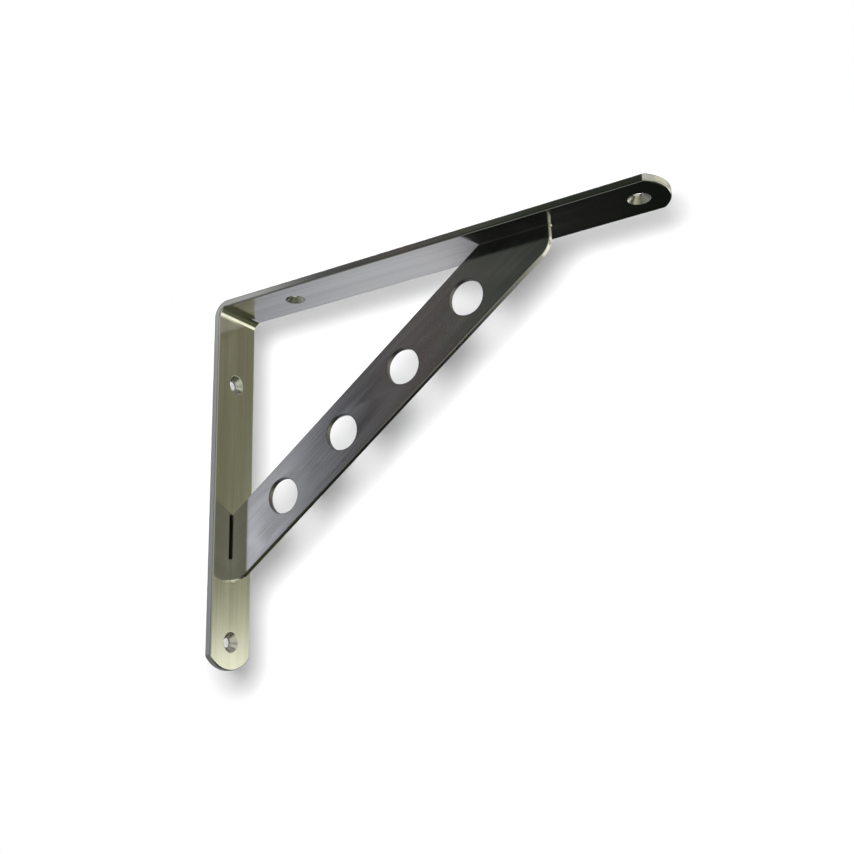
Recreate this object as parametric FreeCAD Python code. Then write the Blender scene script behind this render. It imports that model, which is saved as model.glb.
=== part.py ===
"""Shelf bracket: a flat bar bent to a right angle, a pierced plate brace set on edge, and its two welds.

Millimetres, +Z up. +X runs out from the wall along the shelf and Y runs across the bracket.
The origin lies on the wall plane, in the bracket's middle plane, midway between the two wall screw holes.
"""
import FreeCAD, Part
import os
from math import cos, radians, sin, sqrt, tan

# Angle bar
bar_width = 30.0
bar_thickness = 4.0
shelf_leg_length = 259.0        # wall plane to the tip of the shelf leg
wall_leg_length = 202.0         # shelf plane to the tip of the wall leg
bend_radius = 5.0               # inside of the bend
tip_bulge = 8.0                 # how far the long arc that ends each leg rises over the bar's width
tip_blend = 3.0                 # radius of the small arc between a side and the long arc
edge_round = 0.8                # all round the bar, on both skins

# Screw holes, countersunk from inside the angle
hole_from_corner = 45.5         # outer corner to the first hole of each leg
hole_from_tip = 14.5            # tip of each leg to its last hole
screw_hole_diameter = 5.2
sink_diameter = 10.7
sink_angle = 90.0

# Brace, a plate on edge in the middle plane
brace_thickness = 3.0
brace_width = 32.0
brace_angle = 36.5              # slope of the brace above the horizontal
brace_drop = 120.5              # shelf plane to where the upper edge reaches the wall leg
nose_height = 11.5              # square end under the shelf leg
foot_width = 7.0                # square end beside the wall leg
foot_height = 11.3              # stretch of the wall end that touches the leg
relief_depth = 1.2              # clearance of the rest of the wall end from the leg
corner_radius = 12.0            # the two outer corners
brace_edge_break = 0.3          # chamfer of its piercings and of every edge that no leg touches
piercing_diameter = 18.8
piercing_pitch = 47.2
piercing_count = 4

# Welds
weld_radius = 2.0
cut_margin = 1.0                # how far cutting tools stand past the faces that they cut
same_place = 0.001              # two places this close count as one

# Worked out from the sizes above
half_width = bar_width / 2.0
tip_radius = (half_width ** 2 + tip_bulge ** 2) / (2.0 * tip_bulge)
last_shelf_hole = shelf_leg_length - hole_from_tip
last_wall_hole = wall_leg_length - hole_from_tip
shelf_plane = (hole_from_corner + last_wall_hole) / 2.0   # height of the bar's top face over the origin
under_shelf = shelf_plane - bar_thickness                 # the shelf leg's lower face
slope = tan(radians(brace_angle))
edge_drop = brace_width / cos(radians(brace_angle))       # upper to lower edge of the brace, straight down


def upper_edge(x):
    """Height of the brace's upper edge at a distance from the wall plane."""
    return shelf_plane - brace_drop + (x - bar_thickness) * slope


def lower_edge(x):
    """Height of the brace's lower edge at a distance from the wall plane."""
    return upper_edge(x) - edge_drop


def upper_edge_reach(z):
    """Distance from the wall plane at which the brace's upper edge has a height."""
    return bar_thickness + (z - shelf_plane + brace_drop) / slope


def lower_edge_reach(z):
    """Distance from the wall plane at which the brace's lower edge has a height."""
    return upper_edge_reach(z + edge_drop)


def across(point):
    """The same point on the other side of the middle plane."""
    return FreeCAD.Vector(point.x, -point.y, point.z)


def closed_wire(points, arcs):
    """A closed outline through the points; arcs maps the index of a stretch's first point to its middle."""
    edges = []
    for index, start in enumerate(points):
        end = points[(index + 1) % len(points)]
        if index in arcs:
            edges.append(Part.Arc(start, arcs[index], end).toShape())
        else:
            edges.append(Part.LineSegment(start, end).toShape())
    return Part.Wire(edges)


def leg_outline(start, tip):
    """One leg seen flat, along X from start to tip: straight sides, blended into the long tip arc."""
    tip_centre = FreeCAD.Vector(tip - tip_radius, 0, 0)
    reach = tip_radius - tip_blend
    blend_y = half_width - tip_blend
    to_blend = FreeCAD.Vector(sqrt(reach ** 2 - blend_y ** 2), blend_y, 0)
    blend_centre = tip_centre + to_blend
    outward = FreeCAD.Vector(to_blend).normalize()
    halfway = (outward + FreeCAD.Vector(0, 1, 0)).normalize()
    side = [
        FreeCAD.Vector(start, half_width, 0),
        blend_centre + FreeCAD.Vector(0, tip_blend, 0),
        tip_centre + outward * tip_radius,
    ]
    blend_middle = blend_centre + halfway * tip_blend
    points = [across(point) for point in side] + side[::-1]
    arcs = {1: across(blend_middle), 2: FreeCAD.Vector(tip, 0, 0), 3: blend_middle}
    return closed_wire(points, arcs)


def flat_leg(tip):
    """A leg lying along X with its outer skin up at Z 0, from the end of the bend to its tip."""
    face = Part.Face(leg_outline(bend_radius + bar_thickness, tip))
    return face.extrude(FreeCAD.Vector(0, 0, -bar_thickness))


def bend():
    """The quarter ring that joins the legs, with its outer skin tangent to both planes."""
    outer = bend_radius + bar_thickness
    half = radians(45.0)
    points = [
        FreeCAD.Vector(0, -half_width, -outer),
        FreeCAD.Vector(outer, -half_width, 0),
        FreeCAD.Vector(outer, -half_width, -bar_thickness),
        FreeCAD.Vector(bar_thickness, -half_width, -outer),
    ]
    arcs = {
        0: FreeCAD.Vector(outer - outer * cos(half), -half_width, outer * sin(half) - outer),
        2: FreeCAD.Vector(outer - bend_radius * cos(half), -half_width, bend_radius * sin(half) - outer),
    }
    return Part.Face(closed_wire(points, arcs)).extrude(FreeCAD.Vector(0, bar_width, 0))


def is_rim(edge):
    """True for an edge of either skin's outline, false for the seams across and through the bar."""
    if isinstance(edge.Curve, Part.Line):
        crosswise = abs(edge.Curve.Direction.y) > 0.5
        return not crosswise and edge.Length > bar_thickness + same_place
    return True


def screw_hole():
    """Cutting tool of one screw hole, on Z, sunk from Z -bar_thickness upwards to the skin at Z 0."""
    hole_radius = screw_hole_diameter / 2.0
    sink_radius = sink_diameter / 2.0
    sink_depth = (sink_radius - hole_radius) / tan(radians(sink_angle / 2.0))
    below = FreeCAD.Vector(0, 0, -bar_thickness - cut_margin)
    shaft = Part.makeCylinder(hole_radius, bar_thickness + 2.0 * cut_margin, below)
    mouth = Part.makeCylinder(sink_radius, cut_margin, below)
    sink = Part.makeCone(sink_radius, hole_radius, sink_depth, FreeCAD.Vector(0, 0, -bar_thickness))
    return shaft.fuse([mouth, sink])


def to_wall_leg(shape):
    """Turns what lies along the shelf leg so that it lies along the wall leg, outer skin to the wall."""
    return shape.mirror(FreeCAD.Vector(0, 0, 0), FreeCAD.Vector(1, 0, 1))


def angle_bar():
    """The bent bar with rounded rims and two sunk screw holes in each leg."""
    bar = flat_leg(shelf_leg_length).fuse([bend(), to_wall_leg(flat_leg(wall_leg_length))])
    bar = bar.removeSplitter()
    bar = bar.makeFillet(edge_round, [edge for edge in bar.Edges if is_rim(edge)])
    tools = []
    for distance in (hole_from_corner, last_shelf_hole):
        tool = screw_hole()
        tool.translate(FreeCAD.Vector(distance, 0, 0))
        tools.append(tool)
    for distance in (hole_from_corner, last_wall_hole):
        tool = screw_hole()
        tool.translate(FreeCAD.Vector(distance, 0, 0))
        tools.append(to_wall_leg(tool))
    bar = bar.cut(tools)
    bar.translate(FreeCAD.Vector(0, 0, shelf_plane))
    return bar


def rounded_corner(before, corner, after, radius):
    """Start, middle and end of the arc that rounds a corner of an outline in the XZ plane."""
    back = (before - corner).normalize()
    ahead = (after - corner).normalize()
    half = back.getAngle(ahead) / 2.0
    start = corner + back * (radius / tan(half))
    end = corner + ahead * (radius / tan(half))
    middle = corner + (back + ahead).normalize() * (radius / sin(half) - radius)
    return start, middle, end


def brace_outline():
    """The brace seen from the side, with its relief at the wall end and its two rounded outer corners."""
    foot_base = lower_edge(bar_thickness + foot_width)
    foot_top = foot_base + foot_height
    relief_x = bar_thickness + relief_depth
    nose_base = under_shelf - nose_height
    nose_x = lower_edge_reach(nose_base)
    side = -brace_thickness / 2.0
    top = FreeCAD.Vector(nose_x, side, under_shelf)
    nose = FreeCAD.Vector(nose_x, side, nose_base)
    heel = FreeCAD.Vector(bar_thickness + foot_width, side, foot_base)
    toe = FreeCAD.Vector(bar_thickness, side, foot_base)
    nose_arc = rounded_corner(top, nose, heel, corner_radius)
    heel_arc = rounded_corner(nose, heel, toe, corner_radius)
    points = [
        FreeCAD.Vector(relief_x, side, upper_edge(relief_x)),
        FreeCAD.Vector(upper_edge_reach(under_shelf), side, under_shelf),
        top,
        nose_arc[0],
        nose_arc[2],
        heel_arc[0],
        heel_arc[2],
        toe,
        FreeCAD.Vector(bar_thickness, side, foot_top),
        FreeCAD.Vector(relief_x, side, foot_top),
    ]
    return closed_wire(points, {3: nose_arc[1], 5: heel_arc[1]})


def piercings():
    """The cutting tools of the round holes, evenly spaced about the middle of the brace's centre line."""
    wall_end = FreeCAD.Vector(bar_thickness, 0, upper_edge(bar_thickness) - edge_drop / 2.0)
    shelf_x = upper_edge_reach(under_shelf + edge_drop / 2.0)
    middle = (wall_end + FreeCAD.Vector(shelf_x, 0, under_shelf)) * 0.5
    along = FreeCAD.Vector(cos(radians(brace_angle)), 0, sin(radians(brace_angle)))
    depth = brace_thickness + 2.0 * cut_margin
    tools = []
    for index in range(piercing_count):
        centre = middle + along * ((index - (piercing_count - 1) / 2.0) * piercing_pitch)
        start = centre - FreeCAD.Vector(0, depth / 2.0, 0)
        tools.append(Part.makeCylinder(piercing_diameter / 2.0, depth, start, FreeCAD.Vector(0, 1, 0)))
    return tools


def is_free(edge):
    """True for an edge of either face of the brace that lies against no leg."""
    box = edge.BoundBox
    on_wall_leg = box.XMax < bar_thickness + same_place
    on_shelf_leg = box.ZMin > under_shelf - same_place
    return box.YLength < same_place and not on_wall_leg and not on_shelf_leg


def brace():
    """The pierced plate between the legs, its free edges broken."""
    plate = Part.Face(brace_outline()).extrude(FreeCAD.Vector(0, brace_thickness, 0))
    plate = plate.cut(piercings())
    return plate.makeChamfer(brace_edge_break, [edge for edge in plate.Edges if is_free(edge)])


def weld_bead(x, z):
    """A quarter ball of weld metal beside and below the corner at x and z, in the middle plane."""
    corner = FreeCAD.Vector(x, 0, z)
    size = weld_radius + cut_margin
    quarter = Part.makeBox(size, 2.0 * size, size, corner - FreeCAD.Vector(0, size, size))
    return Part.makeSphere(weld_radius, corner).common(quarter)


def foot_weld():
    """The bead under the foot of the brace, against the wall leg."""
    return weld_bead(bar_thickness, lower_edge(bar_thickness + foot_width))


def nose_weld():
    """The bead in front of the nose of the brace, against the shelf leg."""
    return weld_bead(lower_edge_reach(under_shelf - nose_height), under_shelf)


parts = {
    "angle_bar": angle_bar(),
    "brace": brace(),
    "foot_weld": foot_weld(),
    "nose_weld": nose_weld(),
}
os.makedirs("parts", exist_ok=True)
for name, shape in parts.items():
    shape.exportStep(f"parts/{name}.step")
    print(name, "solids", len(shape.Solids), "valid", shape.isValid(), "volume", round(shape.Volume, 2))
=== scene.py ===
"""A shelf bracket of polished stainless steel, with a white studio around it.

The bracket is one flat bar bent to a right angle, a pierced plate brace on edge and a weld bead at each
end of the brace. The bar and the brace are each drawn flat, as its blank is cut, with rounded rims and
holes, sunk in the bar, and are then bent or set in place; the beads are set in their corners.
"""

import math

import bmesh
import bpy
from bpy.props import FloatProperty, FloatVectorProperty, PointerProperty
from mathutils import Matrix, Vector, noise
from mathutils.geometry import tessellate_polygon


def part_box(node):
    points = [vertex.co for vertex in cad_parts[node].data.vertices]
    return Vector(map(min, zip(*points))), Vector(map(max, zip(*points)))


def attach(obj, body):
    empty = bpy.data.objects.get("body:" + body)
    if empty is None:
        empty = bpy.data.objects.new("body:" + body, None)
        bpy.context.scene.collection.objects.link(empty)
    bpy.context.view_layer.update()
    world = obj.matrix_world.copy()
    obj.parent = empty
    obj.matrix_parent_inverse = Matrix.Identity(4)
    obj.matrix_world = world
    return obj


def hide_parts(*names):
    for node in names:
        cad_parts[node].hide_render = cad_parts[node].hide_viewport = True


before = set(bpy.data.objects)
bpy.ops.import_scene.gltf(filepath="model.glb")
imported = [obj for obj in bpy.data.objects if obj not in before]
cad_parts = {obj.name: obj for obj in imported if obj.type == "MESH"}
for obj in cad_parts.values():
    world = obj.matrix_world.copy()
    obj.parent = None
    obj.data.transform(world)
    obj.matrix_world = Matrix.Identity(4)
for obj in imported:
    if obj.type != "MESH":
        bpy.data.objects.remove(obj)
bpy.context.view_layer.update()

bl_info = {
    "name": "Shelf bracket",
    "version": (1, 0, 0),
    "blender": (4, 5, 0),
    "location": "View3D > Sidebar > Bracket",
    "description": "Builds a welded shelf bracket of polished stainless steel and its studio",
    "category": "Add Mesh",
}

BODY = "root"
MM = 0.001

# The bar, in millimetres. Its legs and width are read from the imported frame.
BAR_LOW, BAR_HIGH = (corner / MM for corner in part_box("angle_bar"))
BAR_HALF_WIDTH = BAR_HIGH.y
BAR_THICKNESS = 4.0
BEND_INSIDE = 5.0
BEND_OUTSIDE = BEND_INSIDE + BAR_THICKNESS
BEND_LENGTH = (BEND_INSIDE + BAR_THICKNESS / 2) * math.pi / 2
WALL_LEG = BAR_HIGH.z - BEND_OUTSIDE - BAR_LOW.z
SHELF_LEG = BAR_HIGH.x - BEND_OUTSIDE
TIP_BULGE = 8.0
TIP_BLEND = 3.0
HOLE_FROM_BEND = 36.5
HOLE_FROM_TIP = 14.5
SINK_RADIUS = 5.35
SCREW_RADIUS = 2.6

# The brace, in millimetres.
BRACE_LOW, BRACE_HIGH = (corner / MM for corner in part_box("brace"))
BRACE_THICKNESS = BRACE_HIGH.y - BRACE_LOW.y
BRACE_SLOPE = math.radians(36.5)
BRACE_WIDTH = 32.0
FOOT_WIDTH = 7.0
FOOT_HEIGHT = 11.3
NOSE_HEIGHT = 11.5
RELIEF = 1.2
CORNER_RADIUS = 12.0
SNIPPED_CORNER = 0.35
PIERCING_RADIUS = 9.4
PIERCINGS = ((39.26, 2.18), (77.20, 30.26), (115.14, 58.34), (153.08, 86.41))

# Small radii at a sink's mouth, throat and far end, in millimetres.
SINK_RIMS = (0.35, 0.3, 0.2)
# A rim's profile starts this far inside the plate, in millimetres.
RUN_IN = -9.0
# Points along the curves, and the greatest turn between two points of a rounded corner.
BEND_STEPS = 30
TIP_STEPS = 24
BLEND_STEPS = 6
SINK_STEPS = 96
PIERCING_STEPS = 128
CORNER_TURN = math.radians(9)
BRACE_CORNER_TURN = math.radians(5)
# Points of the brace's outline count as inside the relief within this distance, in millimetres.
NEAR = 0.1

# Material slots of a plate's mesh.
SKIN, EDGE, HOLE, CUT = range(4)

# A bead's surface, as shares of its radius, and how its ripples follow each other and bow.
BEAD_LEAST = 0.9
BEAD_RIPPLE = 0.05
BEAD_LUMP = 0.10
BEAD_LUMP_SCALE = 1.7
RIPPLE_PACE = 13
RIPPLE_BOW = 1.6
BEAD_DETAIL = 6
SHARP_ANGLE = math.radians(40)
NOSE_BEAD_SHARE = 0.5

# The polish. Its lines are this many times longer than wide and this deep a share of their width, and a
# shallow wave and broad bands run with them. The scales are waves a metre, lengthwise and across.
LINE_STRETCH = 60
WAVE_SCALE = (9, 36, 36)
BAND_SCALE = (3, 130, 130)
LINE_DEPTH = 0.0022
LINE_SHARE = 0.35
SMUDGE = 0.05
DARKER = 0.84
DRAWN_OUT = 0.6

WHITE = "#ffffff"

# The camera that the bracket's straight edges and holes were fitted with.
LENS_MM = 43.282
SENSOR_MM = 36.0
CAMERA_PLACE = (0.373752, -0.415546, -0.117735)
CAMERA_RIGHT = (0.8552132, 0.5173552, -0.0308854)
CAMERA_UP = (0.1714940, -0.2262456, 0.9588549)

# The sheet behind the bracket and the lamp beside the camera, in metres and watts.
SHEET_PLACE = (0.0725, 0.115, 0.038)
SHEET_REACH = 0.33
SHEET_COLOUR = "#e6e6e6"
SHEET_SIDES = 64
LAMP_PLACE = (0.335, -0.4155, -0.064)
LAMP_TARGET = (0.06, 0.115, 0.06)
LAMP_SIZE = 0.11
LAMP_POWER = 12.9
WORLD_LEVEL = 0.5

# What the steel mirrors. Each card has its name, its distance in metres, its azimuths and elevations in
# degrees, whether its colours run by azimuth, its colours at their angles and its strength. Azimuth 0 is
# +X and 90 is +Y. A nearer card hides what is behind it.
CARD_STEPS = 48
CARDS = (
    ("room", 9.0, (0, 360), (-90, 90), False, (
        (-90, "#5a5c58"), (-45, "#20221f"), (-10, "#222420"), (0, "#3c3e3a"), (30, "#4a4c48"),
        (50, "#8c8e8a"), (80, "#d4d5d2")), 1.0),
    ("back_card", 8.0, (72, 199), (-12, 70), False, (
        (-12, "#4a4c48"), (-2, "#8a8c88"), (20, "#a4a6a2"), (60, "#d0d1ce")), 1.0),
    ("front_window", 8.0, (274, 368), (-63, 48), False, (
        (-63, "#6a6b60"), (-58, "#c4c4a8"), (-48, "#dedec6"), (-20, "#dcdcd4"), (10, "#d2d2ca"),
        (40, "#f4f4ea")), 1.15),
    ("right_card", 7.5, (8, 57), (-34, 40), False, (
        (-34, "#525340"), (-26, "#474738"), (-22.7, "#3d3d2f"), (-19.2, "#d5d2c1"), (-8, "#f0efdc"),
        (1, "#fffdea"), (3.4, "#dadbc6"), (5.3, "#9c9d87"), (7, "#81826d"), (9, "#72735f"),
        (12, "#696855"), (25.5, "#656351"), (29.5, "#d8d6c6")), 1.9),
    ("right_window", 7.4, (57, 72), (-36, 38), False, (
        (-28, "#202026"), (-25.5, "#fffdea"), (25, "#fbfaf0"), (31, "#5c5c4c")), 1.6),
    ("olive_card", 7.6, (44, 104), (-60, -35), True, (
        (44, "#82836a"), (62, "#80816a"), (72, "#6a6b52"), (84, "#52533c"), (97, "#4c4d38"),
        (104, "#1c1f1a")), 1.0),
    ("dark_card", 7.3, (72, 106), (-40, -20), True, (
        (72, "#202026"), (104, "#181b17")), 1.0),
    ("left_card", 7.5, (200, 262), (-12, 48), True, (
        (225, "#8e9096"), (227.6, "#b4b6be"), (228.8, "#f4f6fe"), (230.8, "#e6e8f4"),
        (232.2, "#82848c"), (234.2, "#3a3d41"), (236.5, "#4b4e52"), (239.8, "#695b57"),
        (241.5, "#4a4742"), (244, "#3b433c"), (254, "#23271f")), 1.1),
    ("high_left_card", 7.3, (226.5, 262), (22.4, 48), True, (
        (227.4, "#d8dae2"), (228.4, "#ffffff"), (229.8, "#f8f8fc"), (231.2, "#7c7e82"),
        (232.6, "#404246"), (236.5, "#464a4e"), (239.5, "#7a6e6f"), (242, "#5c5c57"), (245, "#4c524a"),
        (249, "#3a4038"), (254, "#343a32")), 1.1),
    ("low_left_card", 7.6, (150, 264), (-76, -12), True, (
        (150, "#9a9b98"), (226, "#90918c"), (262, "#6c6d68")), 1.0),
    ("dark_left_card", 7.3, (233, 262), (-42, -13), True, (
        (233, "#4a4b47"), (236, "#0c1212"), (256, "#0c1212"), (262, "#4a4b47")), 1.0),
    ("far_left_card", 7.4, (257, 275), (-12, 48), True, (
        (257, "#252822"), (274, "#8f908a")), 1.0),
    ("low_back_card", 7.5, (113, 150), (-46, -10), True, (
        (115.4, "#161a16"), (117.4, "#e0e0ea"), (124, "#d3d5dd"), (131, "#b1b3bd"), (145, "#8a8b92")), 1.0),
    ("front_left_card", 7.4, (296, 326), (-2, 22), False, (
        (0, "#b1b2a0"), (20, "#9a9b89")), 1.0),
)


def linear(colour):
    """Turns an sRGB hex colour to the linear red, green, blue and alpha that nodes take."""
    parts = [int(colour[i:i + 2], 16) / 255 for i in (1, 3, 5)]
    parts = [p / 12.92 if p <= 0.04045 else ((p + 0.055) / 1.055) ** 2.4 for p in parts]
    return (*parts, 1.0)


def node(tree, kind, settings=None, **links):
    """Adds a node, sets its properties and sockets, and links what is given as a socket."""
    made = tree.nodes.new(kind)
    for name, value in (settings or {}).items():
        setattr(made, name, value)
    for name, value in links.items():
        plain = name.replace("_", " ").lower()
        socket = next((s for s in made.inputs if s.name.lower() == plain and s.enabled), None)
        socket = socket or made.inputs[int(name[1:])]
        if isinstance(value, bpy.types.NodeSocket):
            tree.links.new(value, socket)
        else:
            socket.default_value = value
    return made


def new_material(name):
    """Makes an empty node material and returns it with its tree and its output node."""
    material = bpy.data.materials.new(name)
    material.use_nodes = True
    material.node_tree.nodes.clear()
    return material, material.node_tree, material.node_tree.nodes.new("ShaderNodeOutputMaterial")


def arc(centre, radius, start, end, steps):
    """Points of an arc with their outward directions, from one angle to another."""
    made = []
    for k in range(steps + 1):
        a = start + (end - start) * k / steps
        across, up = math.cos(a), math.sin(a)
        made.append((centre[0] + radius * across, centre[1] + radius * up, across, up))
    return made


def rounded(corners, radii, step=CORNER_TURN):
    """Rounds the inner corners of an open line. The surface faces to the right of its travel."""
    made = []
    for before, at, after, radius in zip(corners, corners[1:], corners[2:], radii):
        a, b, c = Vector(before), Vector(at), Vector(after)
        come, go = (b - a).normalized(), (c - b).normalized()
        turn = math.atan2(come.x * go.y - come.y * go.x, come.dot(go))
        side = math.copysign(1.0, turn)
        facing = Vector((come.y, -come.x))
        centre = b - come * radius * math.tan(abs(turn) / 2) - facing * radius * side
        steps = max(2, math.ceil(abs(turn) / step))
        for k in range(steps + 1):
            out = facing.copy()
            out.rotate(Matrix.Rotation(turn * k / steps, 2))
            at_arc = centre + out * radius * side
            made.append((at_arc.x, at_arc.y, out.x, out.y))
    return made


def round_hole(centre, radius, steps):
    """A hole's loop, run the other way round from an outline, so that its wall faces the middle."""
    made = []
    for k in range(steps):
        a = -2 * math.pi * k / steps
        across, up = math.cos(a), math.sin(a)
        made.append((centre[0] + radius * across, centre[1] + radius * up, -across, -up))
    return made


class Blank:
    """A plate drawn flat: points with their directions, and faces that each name a finish."""

    def __init__(self, slant=0.0):
        """Starts empty. The slant is the angle of the plate's lengthwise direction."""
        self.slant = slant
        self.points = []
        self.directions = []
        self.grain = []
        self.faces = []
        self.finishes = []

    def sweep(self, loop, profile, finishes, turned=False):
        """Runs a rim profile round a loop, one finish a stretch. Returns the rings on both skins."""
        start = len(self.points)
        lengthwise = (math.cos(self.slant), math.sin(self.slant), 0.0)
        for x, y, across, up in loop:
            for out, depth, facing, down in profile:
                self.points.append((x + across * out, y + up * out, depth))
                self.directions.append((across * facing, up * facing, down))
                self.grain.append((-up, across, 0.0) if turned else lengthwise)
        rows, count = len(profile), len(loop)
        for i in range(count):
            here, beside = start + i * rows, start + (i + 1) % count * rows
            for k in range(rows - 1):
                self.add((here + k, beside + k, beside + k + 1, here + k + 1), finishes[i])
        near = [start + i * rows for i in range(count)]
        return near, [i + rows - 1 for i in near]

    def add(self, face, finish):
        """Adds one face."""
        self.faces.append(face)
        self.finishes.append(finish)

    def fill(self, outline, holes, finish):
        """Fills the flat between an outline and its holes."""
        loops = [outline, *holes]
        order = [i for loop in loops for i in loop]
        flat = [[Vector((*self.points[i][:2], 0.0)) for i in loop] for loop in loops]
        for face in tessellate_polygon(flat):
            self.add(tuple(order[i] for i in face), finish)

    def build(self, name, place, turn, materials):
        """Makes the mesh object: place and turn take flat points and directions to the bracket."""
        points = [place(p) for p in self.points]
        out = [turn(p, d) for p, d in zip(self.points, self.directions)]
        grain = [turn(p, d) for p, d in zip(self.points, self.grain)]
        faces = []
        for face in self.faces:
            a, b, c = (points[i] for i in face[:3])
            facing = sum((out[i] for i in face), Vector())
            backwards = (b - a).cross(c - a).dot(facing) < 0
            faces.append(face[::-1] if backwards else face)
        mesh = bpy.data.meshes.new(name)
        mesh.from_pydata([p * MM for p in points], [], faces)
        mesh.shade_smooth()
        mesh.normals_split_custom_set_from_vertices([d.normalized() for d in out])
        level = Matrix.Rotation(-self.slant, 3, "Z")
        flat = [level @ Vector(p) * MM for p in self.points]
        for word, rows in (("flat_place", flat), ("grain", grain)):
            kept = mesh.attributes.new(word, "FLOAT_VECTOR", "POINT")
            kept.data.foreach_set("vector", [c for row in rows for c in row])
        for material in materials:
            mesh.materials.append(material)
        mesh.polygons.foreach_set("material_index", self.finishes)
        made = bpy.data.objects.new(name, mesh)
        bpy.context.scene.collection.objects.link(made)
        return made


def bar_frame(point):
    """Where a flat point of the bar lies on the bent bar, with its lengthwise and depth directions."""
    along, across, depth = point
    if along <= 0:
        lengthwise, inward = Vector((0, 0, 1)), Vector((-1, 0, 0))
        base = Vector((BAR_THICKNESS, 0, BAR_HIGH.z - BEND_OUTSIDE + along))
    elif along < BEND_LENGTH:
        a = along / BEND_LENGTH * math.pi / 2
        lengthwise = Vector((math.sin(a), 0, math.cos(a)))
        inward = Vector((-math.cos(a), 0, math.sin(a)))
        base = Vector((BEND_OUTSIDE, 0, BAR_HIGH.z - BEND_OUTSIDE)) + inward * BEND_INSIDE
    else:
        lengthwise, inward = Vector((1, 0, 0)), Vector((0, 0, 1))
        base = Vector((BEND_OUTSIDE + along - BEND_LENGTH, 0, BAR_HIGH.z - BAR_THICKNESS))
    return base + Vector((0, across, 0)) + inward * depth, lengthwise, inward


def place_on_bar(point):
    """Where a flat point of the bar lies on the bent bar."""
    return bar_frame(point)[0]


def turn_on_bar(point, direction):
    """How a flat direction at a point of the bar lies on the bent bar."""
    _, lengthwise, inward = bar_frame(point)
    return lengthwise * direction[0] + Vector((0, direction[1], 0)) + inward * direction[2]


def tip(end, heading):
    """The bar's end: a shallow arc with a small blend into each side, from the right side to the left."""
    bulge, half = TIP_BULGE, BAR_HALF_WIDTH
    blend_at = half - TIP_BLEND
    radius = TIP_BLEND + (blend_at ** 2 + (bulge - TIP_BLEND) ** 2) / (2 * (bulge - TIP_BLEND))
    back = end - radius
    reach = math.sqrt((radius - TIP_BLEND) ** 2 - blend_at ** 2)
    meet = math.atan2(blend_at, reach)
    quarter = math.pi / 2
    made = arc((back + reach, -blend_at), TIP_BLEND, -quarter, -meet, BLEND_STEPS)
    made += arc((back, 0.0), radius, -meet, meet, TIP_STEPS)[1:]
    made += arc((back + reach, blend_at), TIP_BLEND, meet, quarter, BLEND_STEPS)[1:]
    if heading < 0:
        made = [(-x, -y, -across, -up) for x, y, across, up in made]
    return made


def plate_rim(thick, edge):
    """The profile of a plate's rim, with both corners rounded."""
    return rounded([(RUN_IN, 0), (0, 0), (0, thick), (RUN_IN, thick)], [edge, edge])


def build_bar(settings, finishes):
    """The flat bar with its rounded rims and four sunk screw holes, bent to a right angle."""
    half, thick = BAR_HALF_WIDTH, BAR_THICKNESS
    blank = Blank()
    stations = [BEND_LENGTH * k / BEND_STEPS for k in range(BEND_STEPS + 1)]
    right = [(s, -half, 0.0, -1.0) for s in stations]
    left = [(s, half, 0.0, 1.0) for s in reversed(stations)]
    far_tip = tip(SHELF_LEG, 1)
    far_tip = [(x + BEND_LENGTH, y, across, up) for x, y, across, up in far_tip]
    loop = right + far_tip + left + tip(WALL_LEG, -1)
    rim = plate_rim(thick, settings.edge_round / MM)
    sides = blank.sweep(loop, rim, [EDGE] * len(loop))
    sink_depth = SINK_RADIUS - SCREW_RADIUS
    sunk = rounded(
        [(RUN_IN, 0), (0, 0), (sink_depth, sink_depth), (sink_depth, thick), (0, thick)], SINK_RIMS)

    def sink(along):
        """Cuts one sunk hole on the middle line."""
        hole = round_hole((along, 0), SINK_RADIUS, SINK_STEPS)
        return blank.sweep(hole, sunk, [HOLE] * len(hole), True)

    wall_holes = [sink(-at) for at in (HOLE_FROM_BEND, WALL_LEG - HOLE_FROM_TIP)]
    shelf_holes = [sink(BEND_LENGTH + at) for at in (HOLE_FROM_BEND, SHELF_LEG - HOLE_FROM_TIP)]
    count, bend = len(loop), len(stations)
    left_start = bend + len(far_tip)
    for skin in (0, 1):
        ring = sides[skin]
        shelf = ring[bend - 1:left_start + 1]
        wall = ring[left_start + bend - 1:] + ring[:1]
        blank.fill(shelf, [hole[skin] for hole in shelf_holes], SKIN)
        blank.fill(wall, [hole[skin] for hole in wall_holes], SKIN)
        for k in range(bend - 1):
            other = left_start + bend - 1 - k
            blank.add((ring[k], ring[k + 1], ring[other - 1], ring[other % count]), SKIN)
    return blank.build("bent_bar", place_on_bar, turn_on_bar, finishes)


def place_brace(point):
    """Where a flat point of the brace lies."""
    return Vector((point[0], BRACE_HIGH.y - point[2], point[1]))


def turn_brace(_, direction):
    """How a flat direction of the brace lies."""
    return Vector((direction[0], -direction[2], direction[1]))


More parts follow.
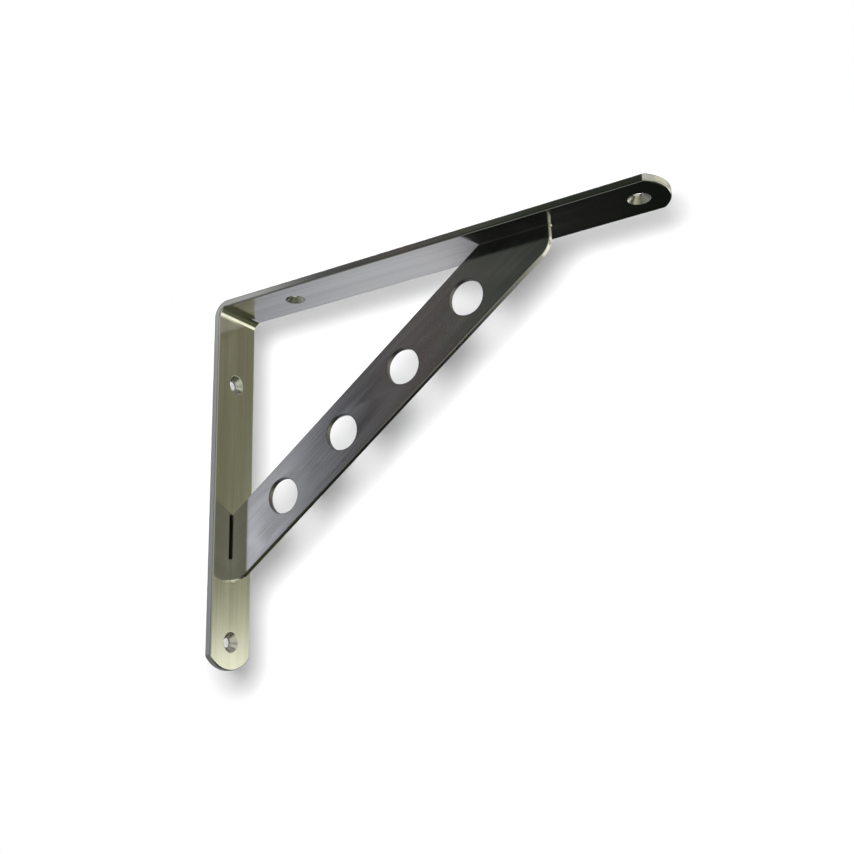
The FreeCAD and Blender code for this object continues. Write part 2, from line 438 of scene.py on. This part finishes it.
def brace_outline():
    """The brace's outline in the bracket's middle plane, with its corners rounded."""
    slope = math.tan(BRACE_SLOPE)
    wall, top = BRACE_LOW.x, BRACE_HIGH.z
    upper = BRACE_LOW.z - FOOT_WIDTH * slope + BRACE_WIDTH / math.cos(BRACE_SLOPE)
    heel = (wall + FOOT_WIDTH, BRACE_LOW.z)
    corners = [
        ((wall, BRACE_LOW.z), SNIPPED_CORNER),
        (heel, CORNER_RADIUS),
        ((BRACE_HIGH.x, top - NOSE_HEIGHT), CORNER_RADIUS),
        ((BRACE_HIGH.x, top), SNIPPED_CORNER),
        ((wall + (top - upper) / slope, top), SNIPPED_CORNER),
        ((wall + RELIEF, upper + RELIEF * slope), SNIPPED_CORNER),
        ((wall + RELIEF, BRACE_LOW.z + FOOT_HEIGHT), SNIPPED_CORNER),
        ((wall, BRACE_LOW.z + FOOT_HEIGHT), SNIPPED_CORNER),
    ]
    places = [place for place, _ in corners]
    around = [places[-1], *places, places[0]]
    return rounded(around, [radius for _, radius in corners], BRACE_CORNER_TURN)


def build_brace(settings, finishes):
    """The pierced plate on edge, with its rims broken and its brushing run lengthwise."""
    blank = Blank(BRACE_SLOPE)
    rim = plate_rim(BRACE_THICKNESS, settings.brace_edge_break / MM)
    outline = brace_outline()
    relieved = BRACE_LOW.x + RELIEF + NEAR
    foot_top = BRACE_LOW.z + FOOT_HEIGHT - NEAR
    ends = zip(outline, outline[1:] + outline[:1])
    cuts = [
        CUT if max(a[0], b[0]) < relieved and min(a[1], b[1]) > foot_top else EDGE
        for a, b in ends]
    sides = blank.sweep(outline, rim, cuts)
    holes = []
    for centre in PIERCINGS:
        hole = round_hole(centre, PIERCING_RADIUS, PIERCING_STEPS)
        holes.append(blank.sweep(hole, rim, [HOLE] * len(hole), True))
    for skin in (0, 1):
        blank.fill(sides[skin], [hole[skin] for hole in holes], SKIN)
    return blank.build("pierced_brace", place_brace, turn_brace, finishes)


def build_weld(name, corner, along, radius, finish):
    """A weld bead in the corner between the brace's end and a leg, with its cooling ripples."""
    mesh = bmesh.new()
    bmesh.ops.create_icosphere(mesh, subdivisions=BEAD_DETAIL, radius=1.0)
    for vert in mesh.verts:
        way = vert.co.copy()
        ripple = BEAD_RIPPLE * math.sin(way.y * RIPPLE_PACE + RIPPLE_BOW * way.dot(along) ** 2)
        lump = BEAD_LUMP * noise.noise(way * BEAD_LUMP_SCALE + corner)
        size = radius * (BEAD_LEAST + ripple * (1 - way.y ** 2) + lump)
        vert.co = [part * size for part in way]
    everything = mesh.verts[:] + mesh.edges[:] + mesh.faces[:]
    for facing in (Vector((-1, 0, 0)), Vector((0, 0, 1))):
        cut = bmesh.ops.bisect_plane(
            mesh, geom=everything, dist=1e-7, plane_co=(0, 0, 0), plane_no=facing, clear_outer=True)
        rim = [part for part in cut["geom_cut"] if isinstance(part, bmesh.types.BMEdge)]
        bmesh.ops.edgeloop_fill(mesh, edges=rim)
        everything = mesh.verts[:] + mesh.edges[:] + mesh.faces[:]
    bmesh.ops.recalc_face_normals(mesh, faces=mesh.faces[:])
    made_mesh = bpy.data.meshes.new(name)
    for vert in mesh.verts:
        vert.co = (vert.co + corner) * MM
    mesh.to_mesh(made_mesh)
    mesh.free()
    made_mesh.shade_smooth()
    made_mesh.set_sharp_from_angle(angle=SHARP_ANGLE)
    made_mesh.materials.append(finish)
    made = bpy.data.objects.new(name, made_mesh)
    bpy.context.scene.collection.objects.link(made)
    return made


def shade(colour, share):
    """A share of a linear colour, with its alpha added."""
    return tuple(part * share for part in colour[:3]) + (1.0,)


def polished_steel(name, colour, roughness, line_mm, wave):
    """Stainless steel polished in one direction: near a mirror, drawn out by fine lines.

    The lines are line_mm wide, and the wave is the depth in metres of the sheet's slow waviness.
    """
    material, tree, output = new_material(name)
    place = node(tree, "ShaderNodeAttribute", {"attribute_name": "flat_place"}).outputs["Vector"]
    grain = node(tree, "ShaderNodeAttribute", {"attribute_name": "grain"}).outputs["Vector"]
    # Real polishing lines are too fine for a picture, so they are drawn some ten times as coarse.
    fine = 1 / (line_mm * MM)
    stretch = (fine / LINE_STRETCH, fine, fine)
    lines_at = node(tree, "ShaderNodeVectorMath", {"operation": "MULTIPLY"}, i0=place, i1=stretch)
    lines = node(
        tree, "ShaderNodeTexNoise", Vector=lines_at.outputs[0], Scale=1.0, Detail=3.0,
        Roughness=0.6).outputs["Fac"]
    slow_at = node(
        tree, "ShaderNodeVectorMath", {"operation": "MULTIPLY"}, i0=place, i1=WAVE_SCALE)
    slow = node(
        tree, "ShaderNodeTexNoise", Vector=slow_at.outputs[0], Scale=1.0, Detail=1.0,
        Roughness=0.5).outputs["Fac"]
    rough = node(
        tree, "ShaderNodeMapRange", Value=lines, From_Min=0.3, From_Max=0.7,
        To_Min=roughness * 0.8, To_Max=roughness * 1.25).outputs["Result"]
    smudge = node(
        tree, "ShaderNodeMapRange", Value=slow, From_Min=0.4, From_Max=0.75,
        To_Min=0.0, To_Max=SMUDGE).outputs["Result"]
    rough = node(tree, "ShaderNodeMath", {"operation": "ADD"}, i0=rough, i1=smudge).outputs[0]
    bands_at = node(
        tree, "ShaderNodeVectorMath", {"operation": "MULTIPLY"}, i0=place, i1=BAND_SCALE)
    bands = node(
        tree, "ShaderNodeTexNoise", Vector=bands_at.outputs[0], Scale=1.0, Detail=2.0).outputs["Fac"]
    streaks = node(
        tree, "ShaderNodeMath", {"operation": "MULTIPLY_ADD"}, i0=lines, i1=LINE_SHARE,
        i2=bands).outputs[0]
    tone = node(
        tree, "ShaderNodeMapRange", Value=streaks, From_Min=0.48, From_Max=0.87,
        To_Min=0.0, To_Max=1.0).outputs["Result"]
    base = node(
        tree, "ShaderNodeMix", {"data_type": "RGBA"}, Factor=tone,
        i6=shade(colour, DARKER), i7=shade(colour, 1.0)).outputs[2]
    wavy = node(
        tree, "ShaderNodeBump", Height=slow, Strength=1.0, Distance=wave).outputs["Normal"]
    bumped = node(
        tree, "ShaderNodeBump", Height=lines, Strength=1.0, Distance=line_mm * MM * LINE_DEPTH,
        Normal=wavy).outputs["Normal"]
    steel = node(
        tree, "ShaderNodeBsdfPrincipled", Base_Color=base, Metallic=1.0, Roughness=rough,
        Anisotropic=DRAWN_OUT, Normal=bumped, Tangent=grain)
    tree.links.new(steel.outputs[0], output.inputs["Surface"])
    return material


def sheared_edge_painted_dark(colour):
    """Plate edge left as it was cut inside the narrow relief: dull, with no polish, and painted near black
    for the shade inside the narrow slot.
    """
    material, tree, output = new_material("sheared_stainless_edge_painted_slot_shade")
    steel = node(
        tree, "ShaderNodeBsdfPrincipled", Base_Color=linear(colour), Metallic=0.6, Roughness=0.6)
    tree.links.new(steel.outputs[0], output.inputs["Surface"])
    return material


def weld_metal(colour, tint):
    """Stainless weld metal as it cooled: bright and rippled, straw and brown where it stayed hot."""
    material, tree, output = new_material("tig_weld_stainless")
    place = node(tree, "ShaderNodeTexCoord").outputs["Object"]
    mottle = node(
        tree, "ShaderNodeTexNoise", Vector=place, Scale=900.0, Detail=3.0).outputs["Fac"]
    mottle = node(
        tree, "ShaderNodeMapRange", Value=mottle, From_Min=0.45, From_Max=0.7).outputs["Result"]
    base = node(
        tree, "ShaderNodeMix", {"data_type": "RGBA"}, Factor=mottle,
        i6=shade(colour, 1.0), i7=linear(tint)).outputs[2]
    steel = node(
        tree, "ShaderNodeBsdfPrincipled", Base_Color=base, Metallic=1.0, Roughness=0.42)
    tree.links.new(steel.outputs[0], output.inputs["Surface"])
    return material


def card(name, far, azimuth, elevation, by_azimuth, stops, strength):
    """A curved studio card far off, which the steel mirrors. Angles are in degrees."""
    material, tree, output = new_material(name)
    place = node(tree, "ShaderNodeAttribute", {"attribute_name": "across"}).outputs["Fac"]
    ramp = node(tree, "ShaderNodeValToRGB", Fac=place)
    first, last = azimuth if by_azimuth else elevation
    bands = ramp.color_ramp.elements
    while len(bands) < len(stops):
        bands.new(0.5)
    for band, (angle, colour) in zip(bands, stops):
        band.position = (angle - first) / (last - first)
        band.color = linear(colour)
    bounced = node(tree, "ShaderNodeLightPath").outputs["Diffuse Depth"]
    direct = node(
        tree, "ShaderNodeMapRange", Value=bounced, From_Min=0.0, From_Max=1.0,
        To_Min=strength, To_Max=0.0).outputs["Result"]
    glow = node(
        tree, "ShaderNodeEmission", Color=ramp.outputs["Color"], Strength=direct)
    tree.links.new(glow.outputs[0], output.inputs["Surface"])
    steps = CARD_STEPS
    points, shares, faces = [], [], []
    for i in range(steps + 1):
        for k in range(steps + 1):
            a = math.radians(azimuth[0] + (azimuth[1] - azimuth[0]) * i / steps)
            e = math.radians(elevation[0] + (elevation[1] - elevation[0]) * k / steps)
            flat = far * math.cos(e)
            points.append((flat * math.cos(a), flat * math.sin(a), far * math.sin(e)))
            shares.append((i if by_azimuth else k) / steps)
            if i and k:
                at = i * (steps + 1) + k
                faces.append((at, at - 1, at - steps - 2, at - steps - 1))
    mesh = bpy.data.meshes.new(name)
    mesh.from_pydata(points, [], faces)
    kept = mesh.attributes.new("across", "FLOAT", "POINT")
    kept.data.foreach_set("value", shares)
    mesh.materials.append(material)
    made = bpy.data.objects.new(name, mesh)
    bpy.context.scene.collection.objects.link(made)
    made.visible_camera = False
    made.visible_diffuse = False
    made.visible_shadow = False


class BracketSettings(bpy.types.PropertyGroup):
    """Sizes and colours of the bracket that a user would change."""

    edge_round: FloatProperty(
        name="Bar edge round", description="Radius on the long edges of the bar",
        default=0.8 * MM, min=0.1 * MM, max=1.5 * MM, unit="LENGTH", precision=5)
    brace_edge_break: FloatProperty(
        name="Brace edge break", description="Small radius on the cut edges of the brace",
        default=0.3 * MM, min=0.05 * MM, max=0.34 * MM, unit="LENGTH", precision=5)
    weld_radius: FloatProperty(
        name="Weld size", description="Radius of the weld beads",
        default=2.0 * MM, min=0.5 * MM, max=2.0 * MM, unit="LENGTH", precision=5)
    bar_colour: FloatVectorProperty(
        name="Bar colour", description="Colour that the polished bar gives to what it mirrors",
        default=linear("#cbcbc5")[:3], min=0.0, max=1.0, subtype="COLOR")
    brace_colour: FloatVectorProperty(
        name="Brace colour", description="Colour that the polished plate gives to what it mirrors",
        default=linear("#cbcac8")[:3], min=0.0, max=1.0, subtype="COLOR")
    weld_colour: FloatVectorProperty(
        name="Weld colour", description="Colour of the bright weld metal",
        default=linear("#f6f4ec")[:3], min=0.0, max=1.0, subtype="COLOR")


def settings_of(context):
    """The bracket's settings in the scene."""
    return context.scene.shelf_bracket


class BRACKET_OT_bar(bpy.types.Operator):
    """Builds the bent flat bar with its sunk screw holes"""

    bl_idname = "bracket.bar"
    bl_label = "Bent bar"

    def execute(self, context):
        settings = settings_of(context)
        colour = settings.bar_colour
        # Flat bar, polished lengthwise: a clear mirror, drawn out across its fine lines.
        skin = polished_steel(
            "lengthwise_polished_stainless_bar", colour, roughness=0.11, line_mm=1.0, wave=4e-5)
        # Its long edges, rounded and polished: narrow strips that change along their length.
        edge = polished_steel(
            "rounded_edge_stainless_bar", shade(colour, 0.86), roughness=0.09, line_mm=0.7, wave=1e-5)
        # Sinks as the drill turned them: a softer shine that runs round.
        sink = polished_steel(
            "turned_countersink_stainless", colour, roughness=0.24, line_mm=0.4, wave=1e-5)
        made = build_bar(settings, [skin, edge, sink])
        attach(made, BODY)
        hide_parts("angle_bar")
        return {"FINISHED"}


class BRACKET_OT_brace(bpy.types.Operator):
    """Builds the pierced plate brace"""

    bl_idname = "bracket.brace"
    bl_label = "Pierced brace"

    def execute(self, context):
        settings = settings_of(context)
        colour = settings.brace_colour
        # Plate, polished lengthwise but less finely: soft changes from pale to dark.
        skin = polished_steel(
            "lengthwise_polished_stainless_plate", colour, roughness=0.13, line_mm=1.0, wave=4e-5)
        # Its edges, ground after cutting: a thin line, bright or dark by what it faces.
        edge = polished_steel(
            "ground_edge_stainless_plate", shade(colour, 0.93), roughness=0.15, line_mm=0.4, wave=1e-5)
        # Piercings as the punch left them: dull walls, painted dark to stand for the shade inside the
        # holes.
        bore = polished_steel(
            "punched_piercing_painted_shade", shade(colour, 0.22), roughness=0.32, line_mm=0.4, wave=1e-5)
        # The edge inside the relief is painted near black to stand for the shade in the narrow slot.
        relief = sheared_edge_painted_dark("#26221e")
        made = build_brace(settings, [skin, edge, bore, relief])
        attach(made, BODY)
        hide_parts("brace")
        return {"FINISHED"}


class BRACKET_OT_welds(bpy.types.Operator):
    """Builds the weld bead at the foot and at the nose of the brace"""

    bl_idname = "bracket.welds"
    bl_label = "Weld beads"

    def execute(self, context):
        settings = settings_of(context)
        # Its heat tint is a pale straw colour.
        finish = weld_metal(settings.weld_colour, "#d6c39c")
        radius = settings.weld_radius / MM
        foot = Vector((BRACE_LOW.x, 0, BRACE_LOW.z))
        nose = Vector((BRACE_HIGH.x, 0, BRACE_HIGH.z))
        for name, node_name, corner, along, share in (
                ("foot_weld_bead", "foot_weld", foot, Vector((0, 0, 1)), 1.0),
                ("nose_weld_bead", "nose_weld", nose, Vector((1, 0, 0)), NOSE_BEAD_SHARE)):
            made = build_weld(name, corner, along, radius * share, finish)
            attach(made, BODY)
            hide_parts(node_name)
        return {"FINISHED"}


def backdrop(name, centre, reach):
    """A white sheet behind the object. It keeps the shadow, and ends softly in the white world."""
    material, tree, output = new_material(name)
    paint = node(tree, "ShaderNodeBsdfDiffuse", Color=linear(SHEET_COLOUR))
    clear = node(tree, "ShaderNodeBsdfTransparent")
    place = node(tree, "ShaderNodeTexCoord").outputs["Object"]
    out = node(tree, "ShaderNodeVectorMath", {"operation": "LENGTH"}, i0=place).outputs["Value"]
    fade = node(
        tree, "ShaderNodeMapRange", {"interpolation_type": "SMOOTHSTEP"}, Value=out,
        From_Min=reach * 0.7, From_Max=reach * 0.99).outputs["Result"]
    back = node(tree, "ShaderNodeNewGeometry").outputs["Backfacing"]
    gone = node(tree, "ShaderNodeMath", {"operation": "MAXIMUM"}, i0=fade, i1=back).outputs[0]
    seen = node(tree, "ShaderNodeMixShader", i0=gone, i1=paint.outputs[0], i2=clear.outputs[0])
    tree.links.new(seen.outputs[0], output.inputs["Surface"])
    mesh = bpy.data.meshes.new(name)
    turns = [math.radians(360 * i / SHEET_SIDES) for i in range(SHEET_SIDES)]
    rim = [(reach * math.cos(a), 0, reach * math.sin(a)) for a in turns]
    mesh.from_pydata(rim, [], [tuple(range(SHEET_SIDES))])
    mesh.materials.append(material)
    made = bpy.data.objects.new(name, mesh)
    made.location = centre
    bpy.context.scene.collection.objects.link(made)
    made.visible_glossy = False
    made.visible_diffuse = False
    made.visible_shadow = False


def white_world(level):
    """A white world for what is seen and mirrored, and a plain level for what it lights."""
    world = bpy.data.worlds.new("white_studio")
    world.use_nodes = True
    tree = world.node_tree
    tree.nodes.clear()
    ray = node(tree, "ShaderNodeLightPath")
    seen = node(
        tree, "ShaderNodeMath", {"operation": "MAXIMUM"}, i0=ray.outputs["Is Camera Ray"],
        i1=ray.outputs["Is Glossy Ray"]).outputs[0]
    seen = node(
        tree, "ShaderNodeMath", {"operation": "MAXIMUM"}, i0=seen,
        i1=ray.outputs["Is Transmission Ray"]).outputs[0]
    strength = node(
        tree, "ShaderNodeMapRange", Value=seen, To_Min=level, To_Max=1.0).outputs["Result"]
    background = node(
        tree, "ShaderNodeBackground", Color=linear(WHITE), Strength=strength)
    output = node(tree, "ShaderNodeOutputWorld")
    tree.links.new(background.outputs[0], output.inputs["Surface"])
    world.cycles.sampling_method = "NONE"
    bpy.context.scene.world = world


def soft_lamp(place, target, size, power):
    """A lamp beside the camera with even light, which puts a narrow soft shadow on the backdrop."""
    light = bpy.data.lights.new("soft_lamp", "AREA")
    light.shape = "DISK"
    light.size = size
    light.energy = power
    light.use_nodes = True
    tree = light.node_tree
    tree.nodes.clear()
    even = node(tree, "ShaderNodeLightFalloff", Strength=1.0).outputs["Constant"]
    shine = node(tree, "ShaderNodeEmission", Strength=even)
    output = node(tree, "ShaderNodeOutputLight")
    tree.links.new(shine.outputs[0], output.inputs["Surface"])
    lamp = bpy.data.objects.new("soft_lamp", light)
    lamp.location = place
    lamp.rotation_euler = (Vector(place) - Vector(target)).to_track_quat("Z", "Y").to_euler()
    lamp.visible_glossy = False
    lamp.visible_camera = False
    bpy.context.scene.collection.objects.link(lamp)


class BRACKET_OT_stage(bpy.types.Operator):
    """Sets the camera, the white studio, its cards and the lamp"""

    bl_idname = "bracket.stage"
    bl_label = "Studio"

    def execute(self, context):
        scene = context.scene
        scene.view_settings.view_transform = "Standard"
        lens = bpy.data.cameras.new("view")
        lens.sensor_width = SENSOR_MM
        lens.lens = LENS_MM
        lens.clip_start = 0.01
        lens.clip_end = 60.0
        camera = bpy.data.objects.new("view", lens)
        right = Vector(CAMERA_RIGHT)
        up = Vector(CAMERA_UP)
        back = right.cross(up)
        turn = Matrix((right, up, back)).transposed().to_4x4()
        camera.matrix_world = Matrix.Translation(CAMERA_PLACE) @ turn
        scene.collection.objects.link(camera)
        scene.camera = camera
        white_world(WORLD_LEVEL)
        backdrop("backdrop", SHEET_PLACE, SHEET_REACH)
        for row in CARDS:
            card(*row)
        soft_lamp(LAMP_PLACE, LAMP_TARGET, LAMP_SIZE, LAMP_POWER)
        return {"FINISHED"}


class BRACKET_PT_panel(bpy.types.Panel):
    """Lists the bracket's settings and steps"""

    bl_idname = "BRACKET_PT_panel"
    bl_label = "Shelf bracket"
    bl_space_type = "VIEW_3D"
    bl_region_type = "UI"
    bl_category = "Bracket"

    def draw(self, context):
        for word in BracketSettings.__annotations__:
            self.layout.prop(settings_of(context), word)
        for step in STEPS:
            self.layout.operator(step.bl_idname)


STEPS = (BRACKET_OT_bar, BRACKET_OT_brace, BRACKET_OT_welds, BRACKET_OT_stage)
CLASSES = (BracketSettings, *STEPS, BRACKET_PT_panel)


def register():
    """Adds the settings, the steps and the panel to Blender."""
    for made in CLASSES:
        bpy.utils.register_class(made)
    bpy.types.Scene.shelf_bracket = PointerProperty(type=BracketSettings)


def unregister():
    """Takes them out again."""
    del bpy.types.Scene.shelf_bracket
    for made in reversed(CLASSES):
        bpy.utils.unregister_class(made)


def main():
    """Builds the bracket and its studio."""
    register()
    bpy.ops.bracket.bar()
    bpy.ops.bracket.brace()
    bpy.ops.bracket.welds()
    bpy.ops.bracket.stage()


if __name__ == "__main__":
    main()
